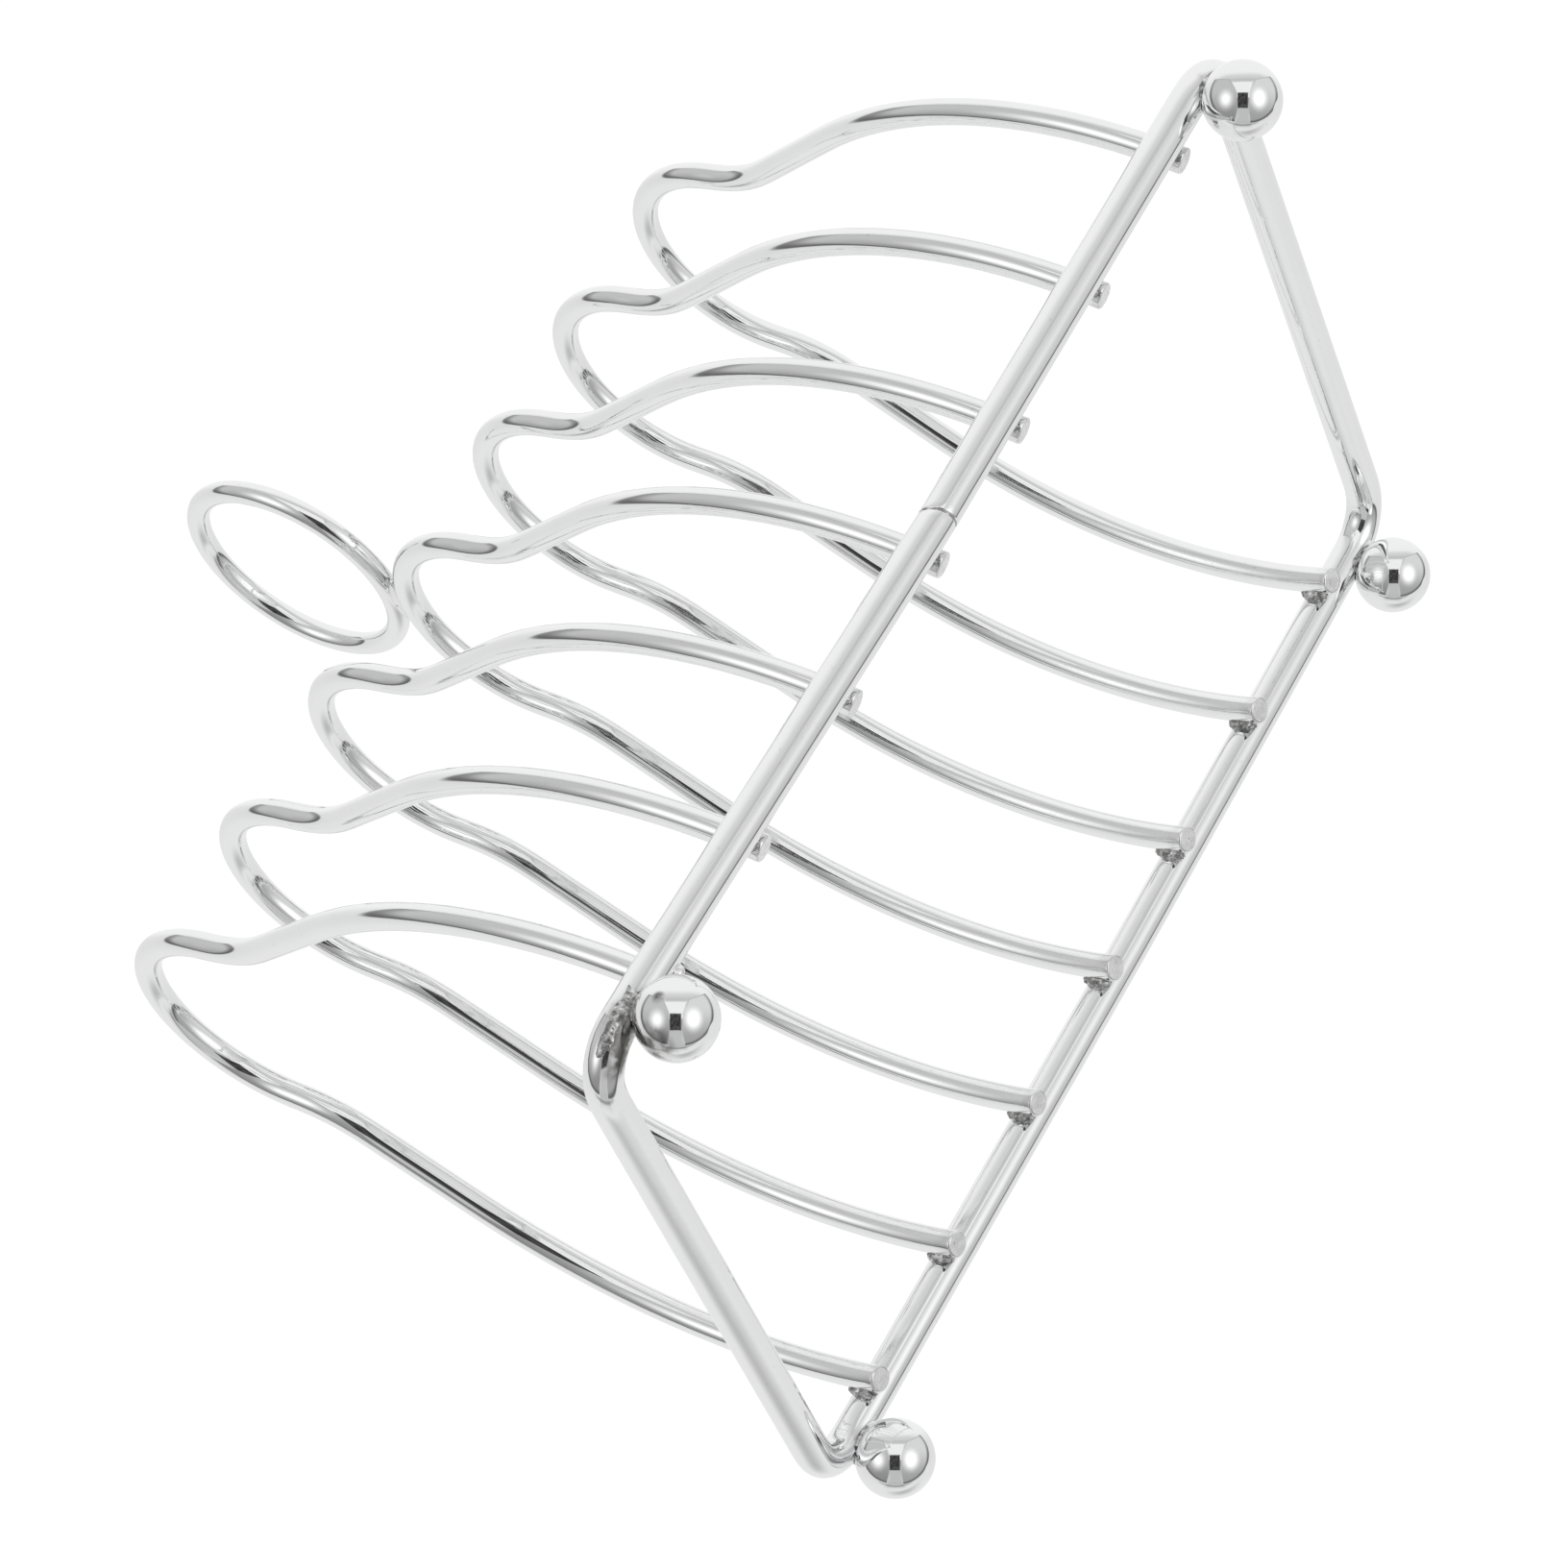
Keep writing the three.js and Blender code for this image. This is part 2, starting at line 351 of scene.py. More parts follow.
def cloth_level(sums, x, y, out):
    """The tent's cloth: brightest overhead, with a fold above the panels and a shadow far below them."""
    cloth = sums.ease(y, -0.75, -0.1, CLOTH_LOW, CLOTH_MIDDLE)
    cloth = sums.mix(sums.ease(y, 0.3, 0.7), cloth, CLOTH_TOP)
    fold = sums.times(sums.ease(y, 0.42, 0.48), sums.ease(y, 0.52, 0.66, 1, 0))
    fold = sums.times(fold, sums.ease(out, 0.65, 0.85, FOLD_DARKER, 0))
    cloth = sums.sub(cloth, fold)
    shadow = sums.times(sums.ease(out, 0.755, 0.81), sums.ease(out, 0.82, 0.93, 1, 0))
    beside = sums.maths("ABSOLUTE", sums.sub(x, SHADOW_X))
    shadow = sums.times(shadow, sums.ease(beside, 0, 0.5, 1, 0))
    shadow = sums.times(shadow, sums.ease(y, -0.6, -0.4, 1, 0))
    cloth = sums.sub(cloth, sums.times(shadow, SHADOW_DARKER))
    sides = sums.times(sums.hill(x, y, *SIDES), sums.ease(y, 0.0, 0.4, 1, 0))
    return sums.sub(cloth, sums.times(sides, SIDES_DARKER))


def add_table(sums, level, x, y):
    """The grey table under the camera, and the dark hem of the tent at its far end."""
    half_width = sums.ease(y, -0.75, -0.3, 0.3, 0.17)
    side = sums.sub(half_width, sums.maths("ABSOLUTE", x))
    table = sums.times(sums.ease(side, 0, TABLE_EDGE), sums.ease(y, -0.74, -0.56))
    table = sums.times(table, sums.ease(y, -0.18, -0.1, 1, 0))
    level = sums.mix(table, level, sums.ease(y, -0.75, -0.5, TABLE_FAR, TABLE_NEAR))
    hem = sums.maths("ABSOLUTE", sums.sub(sums.distance(x, y, *HEM), 1))
    hem = sums.times(sums.ease(hem, 0, 0.045, 1, 0), sums.ease(y, -0.6, -0.5, 1, 0))
    return sums.sub(level, sums.times(hem, HEM_DARKER))


def add_gap(sums, level, x, y):
    """The bright gap over the camera, under a darker lintel."""
    lintel = sums.times(sums.ease(y, 0.38, 0.42), sums.ease(y, 0.43, 0.5, 1, 0))
    lintel = sums.times(lintel, sums.ease(sums.maths("ABSOLUTE", x), 0.2, 0.4, 1, 0))
    level = sums.sub(level, sums.times(lintel, LINTEL_DARKER))
    gap = sums.least(
        sums.sub(GAP_HALF_WIDTH, sums.maths("ABSOLUTE", sums.sub(x, GAP_X))),
        sums.sub(GAP_TOP, y),
        y,
    )
    return sums.mix(sums.ease(gap, 0, 0.02), level, GAP_LEVEL)


def add_panel(sums, level, x, y, panel):
    outward = sums.times(x, panel["side"])
    flare = sums.add(sums.ease(y, 0.1, 0.5, 0, 0.14), sums.ease(y, -0.6, -0.25, 0.05, 0))
    oval = sums.times(sums.sub(1, sums.distance(x, y, *panel["oval"], *panel["oval_size"])), 0.7)
    top = sums.add(sums.times(sums.sub(outward, 0.4), panel["slope"]), panel["top"])
    inside = sums.least(sums.sub(sums.sub(outward, panel["inner"]), flare), oval, sums.sub(top, y))
    face = sums.ease(y, -0.5, 0.3, panel["lower"], panel["upper"])
    glow = sums.hill(x, y, *panel["lamp"], *panel["lamp_size"])
    face = sums.add(face, sums.times(glow, panel["lamp_gain"]))
    rim = sums.times(sums.ease(oval, 0.02, 0.08, 1, 0), sums.ease(y, 0.0, 0.5, 1, 0.45))
    face = sums.mix(rim, face, RIM_LEVEL)
    corner = sums.times(sums.ease(inside, 0.0, 0.045, 1, 0), sums.ease(y, 0.2, 0.35))
    face = sums.mix(sums.times(corner, 0.75), face, CORNER_LEVEL)
    return sums.mix(sums.ease(inside, 0, 0.02), level, face)


def add_hole(sums, level, x, y, way):
    """The dark opening that the camera looks through."""
    hole = sums.least(
        sums.sub(HOLE_HALF_SIZE[0], sums.maths("ABSOLUTE", sums.sub(x, HOLE_CENTRE[0]))),
        sums.sub(HOLE_HALF_SIZE[1], sums.maths("ABSOLUTE", sums.sub(y, HOLE_CENTRE[1]))),
    )
    dark = sums.ease(sums.noise(way, 9), 0.35, 0.7, *HOLE_LEVELS)
    return sums.mix(sums.ease(hole, 0, 0.03), level, dark)


FLOOR_HALF_SIZE = 8.0
FLOOR_Z = -0.02 * MM
FLOOR_FADES_FROM = 0.15
FLOOR_WHITE_AT = 0.7


def make_floor():
    """A pale sweep under the rack. It has no underside, so that the rack can be seen from below."""
    size = FLOOR_HALF_SIZE
    mesh = bpy.data.meshes.new("floor")
    corners = [(-size, -size, 0), (size, -size, 0), (size, size, 0), (-size, size, 0)]
    mesh.from_pydata(corners, [], [(0, 1, 2, 3)])
    floor = bpy.data.objects.new("floor", mesh)
    floor.location.z = FLOOR_Z
    bpy.context.scene.collection.objects.link(floor)
    material = bpy.data.materials.new("pale_floor")
    material.use_nodes = True
    tree = material.node_tree
    tree.nodes.clear()
    sums = Sums(tree)
    paint = sums.node("ShaderNodeBsdfDiffuse")
    paint.inputs["Color"].default_value = grey(0.93)
    far = sums.node("ShaderNodeEmission")
    far.inputs["Color"].default_value = WHITE
    place = sums.node("ShaderNodeTexCoord").outputs["Object"]
    length = sums.node("ShaderNodeVectorMath", operation="LENGTH")
    sums.feed(length.inputs[0], place)
    faded = sums.node("ShaderNodeMixShader")
    sums.feed(faded.inputs[0], sums.ease(length.outputs["Value"], FLOOR_FADES_FROM, FLOOR_WHITE_AT))
    tree.links.new(paint.outputs[0], faded.inputs[1])
    tree.links.new(far.outputs[0], faded.inputs[2])
    clear = sums.node("ShaderNodeBsdfTransparent")
    one_sided = sums.node("ShaderNodeMixShader")
    sums.feed(one_sided.inputs[0], sums.node("ShaderNodeNewGeometry").outputs["Backfacing"])
    tree.links.new(faded.outputs[0], one_sided.inputs[1])
    tree.links.new(clear.outputs[0], one_sided.inputs[2])
    result = sums.node("ShaderNodeOutputMaterial")
    tree.links.new(one_sided.outputs[0], result.inputs["Surface"])
    mesh.materials.append(material)
    floor.visible_glossy = False
    floor.visible_diffuse = False
    floor.visible_transmission = False
    floor.visible_shadow = False


# ---------------------------------------------------------------- materials

def new_material(name):
    material = bpy.data.materials.new(name)
    material.use_nodes = True
    tree = material.node_tree
    shader = tree.nodes["Principled BSDF"]
    shader.inputs["Metallic"].default_value = 1.0
    return material, Sums(tree), shader


def polished_steel():
    """Drawn, polished wire: mirror bright, with fine lines along it, and scorched near the welds. Under the
    frame rod by the left front foot the darkening is partly painted shade.
    """
    material, sums, shader = new_material("polished_steel")
    along = sums.node("ShaderNodeAttribute", attribute_name="wire_place").outputs["Vector"]
    scorch_and_painted_shade = sums.node("ShaderNodeAttribute", attribute_name="scorch_and_painted_shade").outputs["Fac"]
    place = sums.node("ShaderNodeTexCoord").outputs["Object"]
    lines = sums.noise(sums.stretch(along, (9, 9, 0.9)), 3.0, 3, 0.6)
    clouds = sums.noise(place, 160, 3)
    specks = sums.ease(sums.noise(place, 900, 2), 0.7, 0.78)
    clean = sums.tint(clouds, (0.88, 0.885, 0.89, 1), grey(0.92))
    worn = sums.tint(sums.times(specks, 0.25), clean, grey(0.5))
    patchy = sums.times(scorch_and_painted_shade, sums.ease(sums.noise(place, 420, 4), 0.38, 0.6, 0.45, 1))
    # Heat tint near the welds, plus painted shade under the frame rod by the left front foot: a dark spot
    # standing in for the ball's dark reflection.
    scorched = sums.tint(sums.ease(patchy, 0.05, 0.75), worn, (0.18, 0.176, 0.17, 1))
    sums.feed(shader.inputs["Base Color"], scorched)
    smooth = sums.ease(lines, 0.3, 0.75, 0.03, 0.075)
    smooth = sums.add(smooth, sums.times(sums.ease(clouds, 0.5, 0.75), 0.03))
    sums.feed(shader.inputs["Roughness"], sums.mix(patchy, smooth, 0.22))
    fine = sums.bump(lines, 0.002 * MM, 0.5)
    wavy = sums.bump(sums.noise(place, 130, 1), 0.03 * MM, 0.4, fine)
    sums.feed(shader.inputs["Normal"], wavy)
    return material


def sawn_steel():
    """The wires' cut ends: pale and fairly matt, with saw marks and pits."""
    material, sums, shader = new_material("sawn_steel")
    place = sums.node("ShaderNodeTexCoord").outputs["Object"]
    marks = sums.noise(sums.stretch(place, (1, 6, 1)), 900, 3, 0.6)
    patches = sums.noise(place, 700, 3)
    pale = sums.tint(sums.ease(patches, 0.35, 0.65), grey(0.84), grey(0.97))
    pits = sums.ease(sums.noise(place, 1500, 2), 0.66, 0.74)
    sums.feed(shader.inputs["Base Color"], sums.tint(pits, pale, grey(0.45)))
    sums.feed(shader.inputs["Roughness"], sums.ease(marks, 0.3, 0.7, 0.25, 0.42))
    shader.inputs["Metallic"].default_value = 0.35
    sums.feed(shader.inputs["Normal"], sums.bump(marks, 0.05 * MM, 0.5))
    return material


def weld_metal():
    """Rough, scorched weld beads, with bright crests and dark hollows."""
    material, sums, shader = new_material("weld_metal")
    place = sums.node("ShaderNodeTexCoord").outputs["Object"]
    crust = sums.noise(place, 1100, 4, 0.65)
    dark = sums.tint(sums.ease(crust, 0.35, 0.6), (0.2, 0.198, 0.195, 1), (0.62, 0.618, 0.615, 1))
    crests = sums.ease(crust, 0.55, 0.66)
    sums.feed(shader.inputs["Base Color"], sums.tint(crests, dark, grey(0.88)))
    sums.feed(shader.inputs["Roughness"], sums.ease(crust, 0.4, 0.7, 0.42, 0.16))
    sums.feed(shader.inputs["Normal"], sums.bump(crust, 0.2 * MM, 0.6))
    return material


def dressed_weld():
    """A weld polished over with the wires: bright, with a few dark pores."""
    material, sums, shader = new_material("dressed_weld")
    place = sums.node("ShaderNodeTexCoord").outputs["Object"]
    clouds = sums.noise(place, 300, 3)
    pores = sums.ease(sums.noise(place, 650, 2), 0.66, 0.72)
    bright = sums.tint(clouds, grey(0.8), grey(0.92))
    sums.feed(shader.inputs["Base Color"], sums.tint(pores, bright, (0.2, 0.19, 0.18, 1)))
    sums.feed(shader.inputs["Roughness"], sums.ease(clouds, 0.35, 0.7, 0.12, 0.25))
    sums.feed(shader.inputs["Normal"], sums.bump(clouds, 0.06 * MM, 0.5))
    return material


# ---------------------------------------------------------------- shapes

def run_route(start, heading, legs):
    """Follows legs of (length, turn) in a plane. Gives the places and headings, a step apart.

    Where one leg meets the next, the change of bend is eased over a short distance.
    """
    headings = [heading]
    lengths = []
    for length, turn in legs:
        count = max(2, round(length / STEP))
        for _ in range(count):
            headings.append(headings[-1] + turn / count)
            lengths.append(length / count)
    headings = np.array(headings)
    reach = max(1, round(2.5 * BEND_SOFTNESS / STEP))
    weights = np.exp(-0.5 * (np.arange(-reach, reach + 1) * STEP / BEND_SOFTNESS) ** 2)
    before = 2 * headings[0] - headings[reach:0:-1]
    after = 2 * headings[-1] - headings[-2:-reach - 2:-1]
    padded = np.concatenate([before, headings, after])
    headings = np.convolve(padded, weights / weights.sum(), "valid")
    middle = (headings[:-1] + headings[1:]) / 2
    steps = np.stack([np.cos(middle), np.sin(middle)], 1) * np.array(lengths)[:, None]
    places = np.vstack([start, start + np.cumsum(steps, 0)])
    return places, headings


def ripple(place, seed, size, height):
    """A small smooth rise or dip that depends on the place."""
    return height * noise.noise(Vector(place) / size + Vector((seed, 3.1 * seed, 1.7 * seed)))


def build_mesh(name, vertices, faces, materials, face_kinds=None, wire_place=None, scorch_and_painted_shade=None):
    """face_kinds picks each face's material. wire_place and scorch are read by polished_steel."""
    mesh = bpy.data.meshes.new(name)
    mesh.from_pydata([tuple(v) for v in vertices], [], faces)
    for material in materials:
        mesh.materials.append(material)
    if face_kinds is not None:
        mesh.polygons.foreach_set("material_index", face_kinds)
    if wire_place is not None:
        layer = mesh.attributes.new("wire_place", "FLOAT_VECTOR", "POINT")
        layer.data.foreach_set("vector", np.asarray(wire_place, np.float32).ravel())
    if scorch_and_painted_shade is not None:
        layer = mesh.attributes.new("scorch_and_painted_shade", "FLOAT", "POINT")
        layer.data.foreach_set("value", np.asarray(scorch_and_painted_shade, np.float32))
    mesh.shade_smooth()
    mesh.update()
    piece = bpy.data.objects.new(name, mesh)
    bpy.context.scene.collection.objects.link(piece)
    return piece


def sweep(name, places, headings, plane_normal, radius, sides, materials, closed, seed, scorch_and_painted_shade_at=None):
    """A round wire along places. Open wires get slightly rounded edges and flat ends."""
    places = np.asarray(places, float)
    headings = np.asarray(headings, float)
    radii = np.full(len(places), radius)
    if not closed:
        places, headings, radii = round_off(places, headings, radii)
    along = np.concatenate([[0], np.cumsum(np.linalg.norm(np.diff(places, axis=0), axis=1))])
    angles = np.linspace(0, 2 * np.pi, sides, endpoint=False)
    normal = np.array(plane_normal, float)
    vertices = []
    wire_place = []
    for place, heading, size, distance in zip(places, headings, radii, along):
        sideways = np.cross(heading, normal)
        for angle in angles:
            outward = math.cos(angle) * normal + math.sin(angle) * sideways
            swelling = ripple(place + outward * radius, seed, 7 * MM, WIRE_RIPPLE)
            grown = size - RIPPLE_MARGIN + swelling
            vertices.append(place + outward * grown)
            wire_place.append((math.cos(angle), math.sin(angle), distance / radius))
    rings = len(places)
    faces = []
    kinds = []
    for ring in range(rings if closed else rings - 1):
        for side in range(sides):
            following = (side + 1) % sides
            here = ring * sides
            there = (ring + 1) % rings * sides
            faces.append((here + side, here + following, there + following, there + side))
            kinds.append(0)
    if not closed:
        for ring, flip in ((0, True), (rings - 1, False)):
            add_cap(vertices, wire_place, faces, kinds, places[ring], ring * sides, sides, flip, seed)
    scorch_and_painted_shade = [scorch_and_painted_shade_at(v) for v in vertices] if scorch_and_painted_shade_at else np.zeros(len(vertices))
    return build_mesh(name, vertices, faces, materials, kinds, wire_place, scorch_and_painted_shade)


def round_off(places, headings, radii):
    """Adds rings at both ends, where the cut edge is rounded."""
    def end_rings(place, heading, radius):
        rings = []
        for share in np.linspace(1, 0, 6):
            angle = share * math.pi / 2
            inward = EDGE_ROUNDING * (1 - math.sin(angle))
            size = radius - EDGE_ROUNDING * (1 - math.cos(angle))
            rings.append((place - heading * inward, size))
        return rings
    first = end_rings(places[0], -headings[0], radii[0])
    last = end_rings(places[-1], headings[-1], radii[-1])
    new_places = [p for p, _ in first] + list(places[1:-1]) + [p for p, _ in reversed(last)]
    new_radii = [r for _, r in first] + list(radii[1:-1]) + [r for _, r in reversed(last)]
    new_headings = [headings[0]] * len(first) + list(headings[1:-1]) + [headings[-1]] * len(last)
    return np.array(new_places), np.array(new_headings), np.array(new_radii)


def add_cap(vertices, wire_place, faces, kinds, centre, start, sides, flip, seed):
    """Closes a wire's end with shrinking rings, a little uneven."""
    outer = [start + side for side in range(sides)]
    rim = np.array([vertices[index] for index in outer])
    for share in (0.75, 0.5, 0.25):
        inner = []
        for side in range(sides):
            spot = centre + (rim[side] - centre) * share
            lift = ripple(spot, seed + 5, 0.8 * MM, 0.1 * MM)
            inner.append(len(vertices))
            vertices.append(spot + lift * np.cross(rim[0] - centre, rim[sides // 4] - centre) / CAP_SIZE)
            wire_place.append((0, 0, 0))
        for side in range(sides):
            following = (side + 1) % sides
            quad = (outer[side], outer[following], inner[following], inner[side])
            faces.append(quad[::-1] if flip else quad)
            kinds.append(1)
        outer = inner
    middle = len(vertices)
    vertices.append(centre)
    wire_place.append((0, 0, 0))
    for side in range(sides):
        triangle = (outer[side], outer[(side + 1) % sides], middle)
        faces.append(triangle[::-1] if flip else triangle)
        kinds.append(1)


def blob(name, centre, radii, roughness, seed, material, turn=0.0):
    """A lump of weld metal, turned about X."""
    shape = bmesh.new()
    bmesh.ops.create_icosphere(shape, subdivisions=4, radius=1)
    tip = Matrix.Rotation(turn, 3, "X")
    vertices = []
    for vertex in shape.verts:
        way = vertex.co.copy()
        place = Vector([share * radius for share, radius in zip(way, radii)])
        spot = way * 1.6 + Vector((seed, -seed, 2 * seed))
        coarse = noise.noise(spot)
        ridges = 1 - 2 * abs(noise.noise(spot * 2.3))
        fine = 1 - 2 * abs(noise.noise(spot * 5.1))
        grown = 1 + roughness * (0.45 * coarse + 0.35 * ridges * max(0.0, ridges) + 0.2 * fine)
        vertices.append(Vector(centre) + tip @ (place * grown))
    faces = [tuple(vertex.index for vertex in face.verts) for face in shape.faces]
    shape.free()
    return build_mesh(name, vertices, faces, [material])


def crust(name, places, outwards, radius, middle_angle, half_angle, height, seed, material):
    """A rough skin of weld spatter on a rod. It thins out towards its edges, where it dips into the rod."""
    vertices = []
    for outer_layer in (True, False):
        for station, (place, outward) in enumerate(zip(places, outwards)):
            end_share = 2 * station / (len(places) - 1) - 1
            for step in range(CRUST_SIDES + 1):
                side_share = 2 * step / CRUST_SIDES - 1
                angle = middle_angle + side_share * half_angle
                way = Vector(outward) * math.cos(angle) + Vector((0, 0, math.sin(angle)))
                size = radius * 0.9
                if outer_layer:
                    spot = (Vector(place) + way * radius) / SPATTER_GRAIN + Vector((seed, 2 * seed, -seed))
                    size = radius + spatter_rise(spot, end_share, side_share, height)
                vertices.append(Vector(place) + way * size)
    row = CRUST_SIDES + 1
    count = len(places) * row
    outer = [[station * row + step for step in range(row)] for station in range(len(places))]
    faces = []
    for first, second in zip(outer, outer[1:]):
        for a, b, c, d in zip(first, first[1:], second[1:], second):
            faces.append((a, d, c, b))
            faces.append((a + count, b + count, c + count, d + count))
    far_side = [line[-1] for line in outer[1:]]
    near_side = [line[0] for line in outer[-2:0:-1]]
    border = outer[0] + far_side + outer[-1][-2::-1] + near_side
    for a, b in zip(border, border[1:] + border[:1]):
        faces.append((a, b, b + count, a + count))
    return build_mesh(name, vertices, faces, [material])


def spatter_rise(spot, end_share, side_share, height):
    """How far the spatter stands out of the rod. The shares run from -1 to 1, edge to edge."""
    grain = max(0.0, 1 - 2.2 * abs(noise.noise(spot))) + 0.5 * noise.noise(spot * 2.7)
    lumps = 0.6 + noise.noise(spot * 0.45)
    edge = max(abs(end_share) ** 3, side_share ** 2)
    cover = 1 - edge * 1.25 + 0.6 * noise.noise(spot * 0.5)
    if cover < 0.15:
        return -0.1 * MM
    return height * min(1.0, cover) * (0.25 + 0.75 * max(0.0, grain) * max(0.0, lumps))


def scorch_and_painted_shade_near(point, spots):
    """1 in the middle of a darkened spot, falling to 0 at its reach. spots are (place, reach). The spots are
    heat tint, and under the frame rod by the left front foot partly painted shade.
    """
    return max(max(0.0, 1 - (point - place).length / reach) for place, reach in spots) ** 0.7


def settle(piece, node):
    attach(piece, "root")
    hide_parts(node)


def middle_of(node):
    low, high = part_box(node)
    return (low + high) / 2


# ---------------------------------------------------------------- the rack

class Rack:
    """The sizes that the CAD nodes' boxes give."""

    def __init__(self):
        low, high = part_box("frame_rod")
        self.frame_r = (high.z - low.z) / 2
        self.frame_z = (high.z + low.z) / 2
        low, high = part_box("divider_1")
        self.divider_r = (high.x - low.x) / 2
        self.divider_top = high.z - self.divider_r
        self.divider_inset = self.frame_r + TOUCH_GAP + self.divider_r


def rail_y(x, side):
    """Where the frame's centre line crosses x: at the front if side is below 0, or else at the back."""
    rail = (LEFT_FRONT, FRAME_SEAM, RIGHT_FRONT) if side < 0 else (LEFT_BACK, MIDDLE_BACK, RIGHT_BACK)
    return float(np.interp(x, [corner[0] for corner in rail], [corner[1] for corner in rail]))


def frame_legs(gap):
    """The frame's first heading, and its straights and bends as (length, turn)."""
    corners = [np.array(c) for c in (RIGHT_FRONT, RIGHT_BACK, MIDDLE_BACK, LEFT_BACK, LEFT_FRONT, FRAME_SEAM)]
    bends = (CORNER_RADIUS, CORNER_RADIUS, SLIGHT_BEND_RADIUS, CORNER_RADIUS, CORNER_RADIUS)
    sides = [corner - before for before, corner in zip([np.array(FRAME_SEAM)] + corners, corners)]
    headings = [math.atan2(side[1], side[0]) for side in sides]
    legs = []
    trimmed = gap
    for index, radius in enumerate(bends):
        turn = (headings[index + 1] - headings[index]) % (2 * math.pi)
        trim = (radius + BEND_SOFTNESS ** 2 / (2 * radius)) * math.tan(turn / 2)
        legs.append((np.linalg.norm(sides[index]) - trimmed - trim, 0))
        legs.append((radius * turn, turn))
        trimmed = trim
    legs.append((np.linalg.norm(sides[-1]) - trimmed - gap, 0))
    return headings[0], legs


def make_frame(rack, steel, sawn, weld, dressed):
    heading, legs = frame_legs(SEAM_HALF_GAP)
    start = np.array(FRAME_SEAM) + SEAM_HALF_GAP * np.array([math.cos(heading), math.sin(heading)])
    flat, turns = run_route(start, heading, legs)
    places = np.column_stack([flat, np.full(len(flat), rack.frame_z)])
    headings = np.column_stack([np.cos(turns), np.sin(turns), np.zeros(len(turns))])
    spots = [(middle_of(f"{foot}_weld"), FRAME_SCORCH) for foot in FEET]
    foot = middle_of("foot_left_front")
    under = rack.frame_z - rack.frame_r
    # Painted shade: spots under the rod by the left front foot, darkened to stand in for the dark reflection
    # of the ball, on top of the heat tint.
    for (x, y), reach in BEND_SCORCH_AND_PAINTED_SHADE:
        spots.append((Vector((foot.x + x * MM, foot.y + y * MM, under)), reach * MM))

    def scorch_and_painted_shade_at(vertex):
        return scorch_and_painted_shade_near(Vector(vertex), spots)

    piece = sweep("frame_rod_wire", places, headings, (0, 0, 1), rack.frame_r, FRAME_SIDES,
                  [steel, sawn], closed=False, seed=1, scorch_and_painted_shade_at=scorch_and_painted_shade_at)
    slant_seam(piece, rack)
    settle(piece, "frame_rod")
    size = rack.frame_r * SEAM_BEAD_SHARE
    bead = blob("frame_seam_weld", middle_of("frame_butt_weld"), (SEAM_BEAD_HALF_WIDTH, size, size),
                roughness=0.03, seed=4, material=weld)
    slant_seam(bead, rack)
    settle(bead, "frame_butt_weld")
    make_spatter(rack, places, headings, weld, dressed)


def slant_seam(piece, rack):
    """The rod's two ends were cut a little out of square."""
    for vertex in piece.data.vertices:
        point = vertex.co
        if point.y < 0:
            near = max(0.0, 1 - abs(point.x - FRAME_SEAM[0]) / SLANTED_LENGTH)
            point.x -= SEAM_SLANT * min(1.0, 2 * near) * (point.z - rack.frame_z)


def make_spatter(rack, places, headings, weld, dressed):
    """Weld spatter on the rod beside the left front foot, and a drop of metal behind the foot."""
    chosen = [k for k, (place, heading) in enumerate(zip(places, headings))
              if place[1] < 0 and place[0] < SPATTER_START_X and heading[0] > SPATTER_LAST_HEADING]
    finer = np.linspace(chosen[0], chosen[-1], SPATTER_STATIONS)
    stations = np.arange(len(places))
    spots = np.column_stack([np.interp(finer, stations, places[:, axis]) for axis in range(3)])
    aims = np.column_stack([np.interp(finer, stations, headings[:, axis]) for axis in range(3)])
    outwards = [Vector((aim[1], -aim[0], 0)).normalized() for aim in aims]
    piece = crust("foot_left_front_spatter", spots, outwards, rack.frame_r, SPATTER_ANGLE,
                  SPATTER_HALF_WIDTH, SPATTER_HEIGHT, seed=7, material=weld)
    settle(piece, "foot_left_front_weld")
    place = Vector((*DROP_PLACE, rack.frame_z - DROP_DEPTH * rack.frame_r))
    drop = blob("foot_left_front_lump", place, DROP, roughness=0.12, seed=51, material=dressed)
    settle(drop, "foot_left_front_weld")


def half_divider(rack, foot_y, end_below):
    """Dome, waist, straight shoulder, and one arc down past the frame rod."""
    legs = [
        (DOME_RADIUS * DOME_TURN, -DOME_TURN),
        (WAIST_RADIUS * WAIST_TURN, WAIST_TURN),
        (SHOULDER_LENGTH, 0),
    ]
    heading = -DOME_TURN + WAIST_TURN
    y = DOME_RADIUS * math.sin(DOME_TURN)
    y += WAIST_RADIUS * (math.sin(DOME_TURN) - math.sin(DOME_TURN - WAIST_TURN))
    y += SHOULDER_LENGTH * math.cos(heading)
    z = rack.divider_top - DOME_RADIUS * (1 - math.cos(DOME_TURN))
    z -= WAIST_RADIUS * (math.cos(DOME_TURN - WAIST_TURN) - math.cos(DOME_TURN))
    z += SHOULDER_LENGTH * math.sin(heading)
    across = foot_y - y
    down = rack.frame_z - z
    lean = across * math.sin(heading) - down * math.cos(heading)
    side_radius = (across ** 2 + down ** 2) / (2 * lean)
    centre_z = z - side_radius * math.cos(heading)
    end_heading = -math.acos((rack.frame_z - end_below - centre_z) / side_radius)
    legs.append((side_radius * (heading - end_heading), end_heading - heading))
    return run_route(np.array([0, rack.divider_top]), 0, legs)


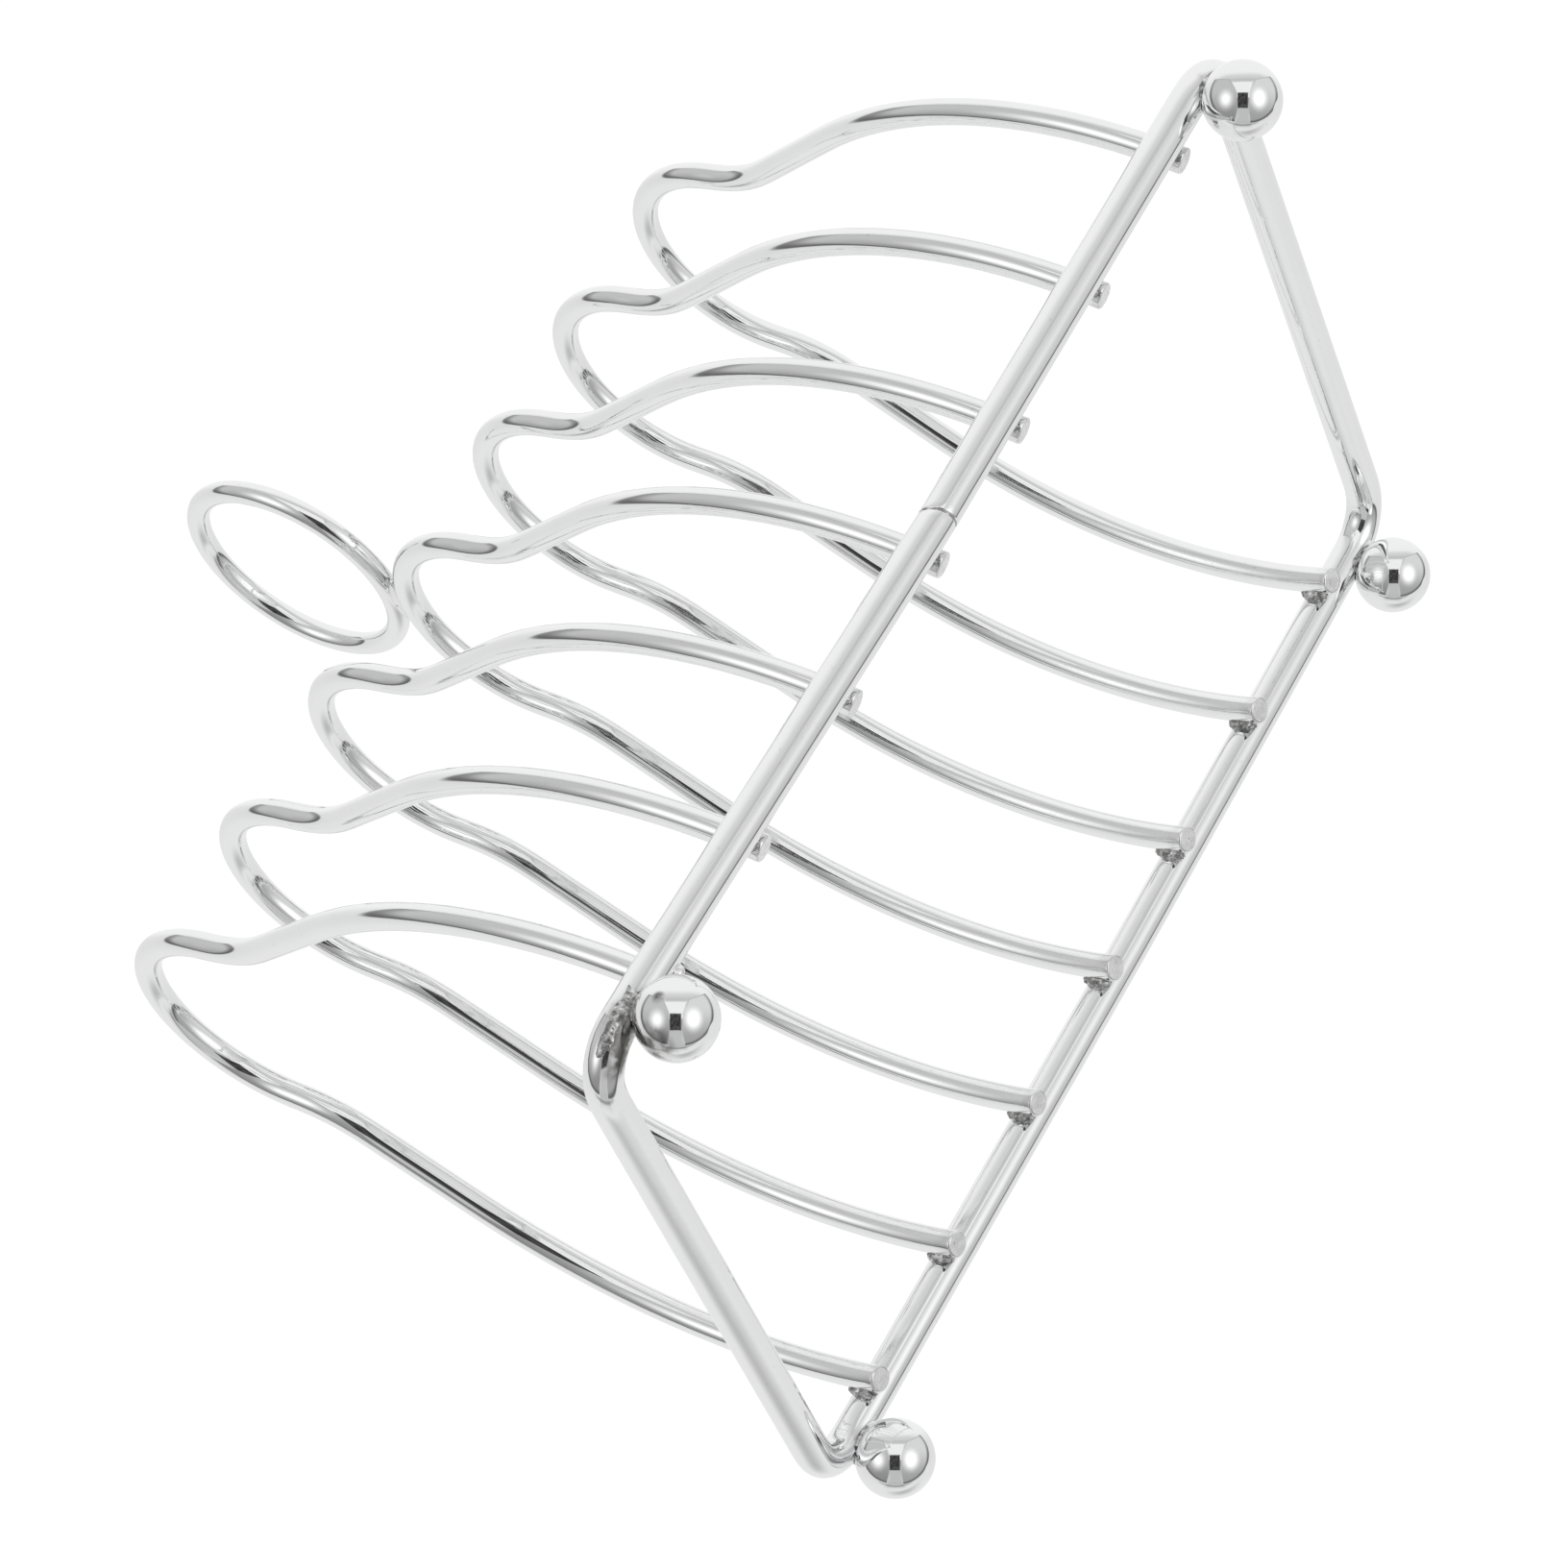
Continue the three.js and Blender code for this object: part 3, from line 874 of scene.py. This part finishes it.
def make_dividers(rack, steel, sawn, weld):
    for index in range(DIVIDER_COUNT):
        node = f"divider_{index + 1}"
        x = middle_of(node).x
        front, front_turns = half_divider(rack, -rail_y(x, -1) - rack.divider_inset, FRONT_END_BELOW_FRAME)
        back, back_turns = half_divider(rack, rail_y(x, 1) - rack.divider_inset, BACK_END_BELOW_FRAME)
        flat = np.vstack([front[:0:-1] * (-1, 1), back])
        turns = np.concatenate([-front_turns[:0:-1], back_turns])
        headings = np.column_stack([np.zeros(len(turns)), np.cos(turns), np.sin(turns)])
        places = np.column_stack([np.full(len(flat), x), flat])
        ends = [Vector(places[0]), Vector(places[-1])]

        def scorch_and_painted_shade_at(vertex):
            nearest = min((Vector(vertex) - end).length for end in ends)
            return 0.5 * max(0.0, 1 - nearest / DIVIDER_SCORCH)

        piece = sweep(f"{node}_wire", places, headings, (1, 0, 0), rack.divider_r, DIVIDER_SIDES,
                      [steel, sawn], closed=False, seed=10 + index, scorch_and_painted_shade_at=scorch_and_painted_shade_at)
        settle(piece, node)
        for end, side in (("front", -1), ("back", 1)):
            touch_y = rail_y(x, side) - side * (rack.frame_r + TOUCH_GAP / 2)
            groove = Vector((x - BEAD_ASIDE, touch_y, rack.frame_z + BEAD_LIFT))
            bead = blob(f"{node}_{end}_bead", groove, DIVIDER_BEAD, roughness=0.5,
                        seed=20 + 2 * index + side, material=weld)
            settle(bead, f"{node}_{end}_weld")


def make_ring(steel, dressed):
    low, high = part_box("ring_handle")
    wire = (high.x - low.x) / 2
    radius = (high.y - low.y) / 2 - wire
    centre = np.array((low + high) / 2)
    count = round(2 * math.pi * radius / STEP)
    angles = np.linspace(0, 2 * math.pi, count, endpoint=False)
    around = np.column_stack([np.zeros(count), np.cos(angles), np.sin(angles)])
    headings = np.column_stack([np.zeros(count), -np.sin(angles), np.cos(angles)])
    piece = sweep("ring_handle_wire", centre + around * radius, headings, (1, 0, 0), wire, RING_SIDES,
                  [steel], closed=True, seed=30)
    settle(piece, "ring_handle")
    bead = blob("ring_handle_bead", middle_of("ring_weld"), RING_BEAD, roughness=0.12, seed=31,
                material=dressed)
    settle(bead, "ring_weld")


def make_foot(rack, name, seed, steel, weld):
    """A polished ball with a small worn flat, hollowed where it meets the frame rod, and its weld."""
    low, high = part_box(name)
    radius = (high.x - low.x) / 2
    middle = (low + high) / 2
    centre = Vector((middle.x, middle.y, math.sqrt(radius ** 2 - FLAT_RADIUS ** 2)))
    rod = Vector((0, rail_y(centre.x, centre.y), rack.frame_z))
    shape = bmesh.new()
    bmesh.ops.create_icosphere(shape, subdivisions=6, radius=radius)
    vertices = []
    for vertex in shape.verts:
        point = centre + vertex.co * (1 + ripple(vertex.co, seed, 6 * MM, 0.0012))
        point.z = max(point.z, 0)
        if math.hypot(point.y - rod.y, point.z - rod.z) < rack.frame_r:
            point = leave_rod(point, centre, rod, rack.frame_r)
        vertices.append(point)
    faces = [tuple(vertex.index for vertex in face.verts) for face in shape.faces]
    shape.free()
    spots = [(middle_of(f"{name}_weld"), BALL_SCORCH)]
    if name == "foot_left_front":
        spots += [(centre + Vector(place) * MM, reach * MM) for place, reach in BALL_SCORCHES]
    scorch_and_painted_shade = [scorch_and_painted_shade_near(vertex, spots) for vertex in vertices]
    places = [tuple((vertex - centre) / radius) for vertex in vertices]
    piece = build_mesh(f"{name}_ball", vertices, faces, [steel], wire_place=places, scorch_and_painted_shade=scorch_and_painted_shade)
    settle(piece, name)
    tilt = math.atan2(rod.y - centre.y, rack.frame_z - centre.z)
    seat = centre + Vector((0, math.sin(tilt), math.cos(tilt))) * (radius - BEAD_SINK)
    bead = blob(f"{name}_bead", seat, FOOT_BEAD, roughness=0.25, seed=40 + seed, material=weld, turn=-tilt)
    settle(bead, f"{name}_weld")


def leave_rod(point, centre, rod, radius):
    """Moves a point of the ball towards the ball's middle until it is out of the rod."""
    near, far = 0.0, 1.0
    for _ in range(24):
        share = (near + far) / 2
        spot = point.lerp(centre, share)
        if math.hypot(spot.y - rod.y, spot.z - rod.z) < radius:
            near = share
        else:
            far = share
    return point.lerp(centre, far)


def make_rack():
    rack = Rack()
    steel = polished_steel()
    sawn = sawn_steel()
    weld = weld_metal()
    dressed = dressed_weld()
    make_frame(rack, steel, sawn, weld, dressed)
    make_dividers(rack, steel, sawn, weld)
    make_ring(steel, dressed)
    for seed, name in enumerate(FEET):
        make_foot(rack, name, seed, steel, weld)


axes = make_camera()
make_studio(*axes)
make_floor()
make_rack()
bpy.context.scene.view_settings.view_transform = "Standard"
bpy.context.view_layer.update()
